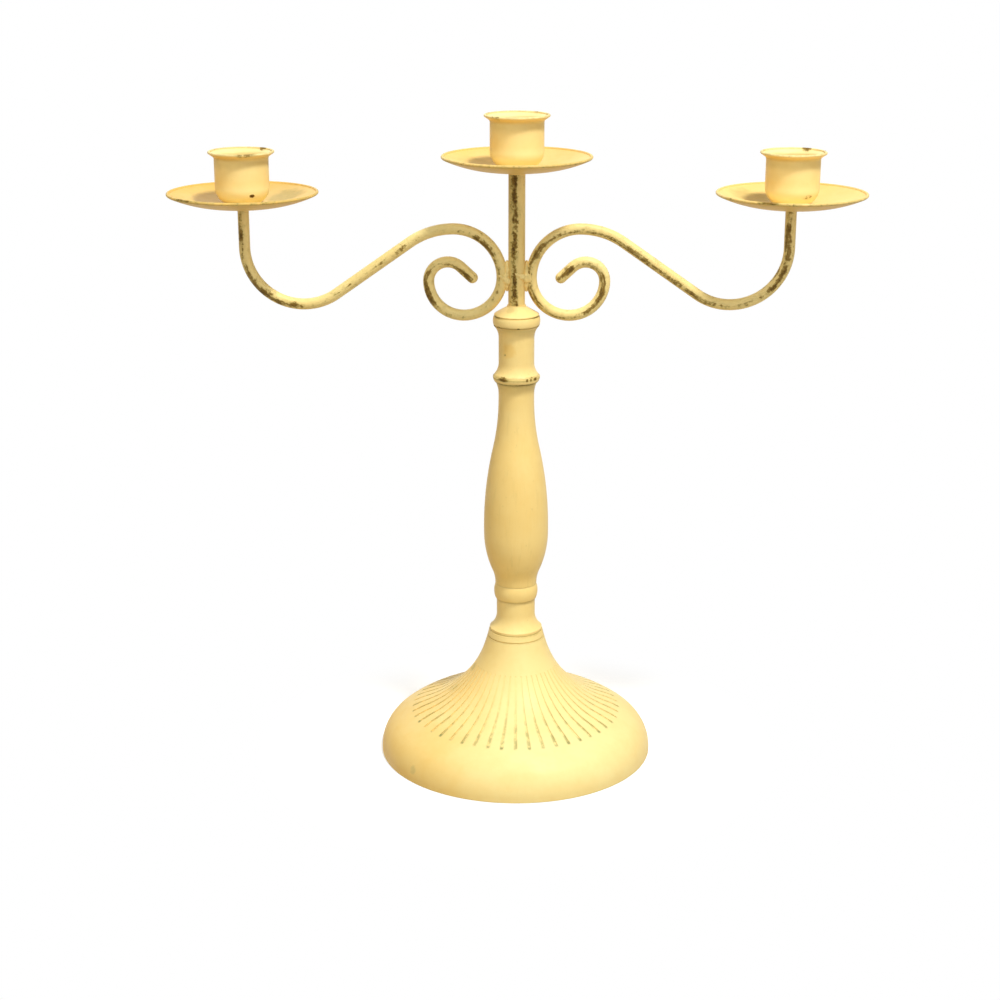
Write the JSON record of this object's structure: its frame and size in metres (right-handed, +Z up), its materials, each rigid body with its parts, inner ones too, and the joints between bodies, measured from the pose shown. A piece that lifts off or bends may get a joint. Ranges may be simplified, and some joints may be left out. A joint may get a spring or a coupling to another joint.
{
  "type": "candelabra",
  "caption": "Candelabra with scrolled rod arms on a turned column and a fluted round base; each arm ends in a drip pan with a candle cup, and the head unscrews from the column.",
  "frame": {"origin": "centre of the face that the base stands on", "axes": "+Z up the column, +X along the arms to the right arm, +Y to the back"},
  "size_m": [0.3216, 0.133, 0.3115],
  "materials": {
    "cream_paint": "satin",
    "bare_steel": "satin"
  },
  "bodies": {
    "column": {"base_shell": "cream_paint", "neck_ring": "cream_paint", "lower_spool": "cream_paint", "lower_ring": "cream_paint", "baluster": "cream_paint", "bead_ring": "cream_paint", "upper_spool": "cream_paint", "cap": "cream_paint", "tie_rod": "bare_steel", "clamp_washer": "bare_steel", "clamp_nut": "bare_steel"},
    "stud": {"stem_stud": "bare_steel"},
    "head": {"stem": "cream_paint", "arm_left": "cream_paint", "arm_right": "cream_paint", "weld_left": "cream_paint", "weld_right": "cream_paint", "pan_welds": "cream_paint", "pan_left": "cream_paint", "pan_centre": "cream_paint", "pan_right": "cream_paint", "cup_left": "cream_paint", "cup_centre": "cream_paint", "cup_right": "cream_paint", "cup_screws": "bare_steel"}
  },
  "joints": [
    {"name": "head_rise", "type": "slide", "parent": "column", "child": "stud", "axis": [0, 0, 1], "range_m": [0, 0.00861]},
    {"name": "head_turn", "type": "hinge", "parent": "stud", "child": "head", "pos_m": [0, 0, 0.22361], "axis": [0, 0, 1], "range_deg": [0, 3870]}
  ],
  "couplings": [
    {"joint": "head_rise", "follows": "head_turn", "m_per_rad": 0.00012732}
  ]
}
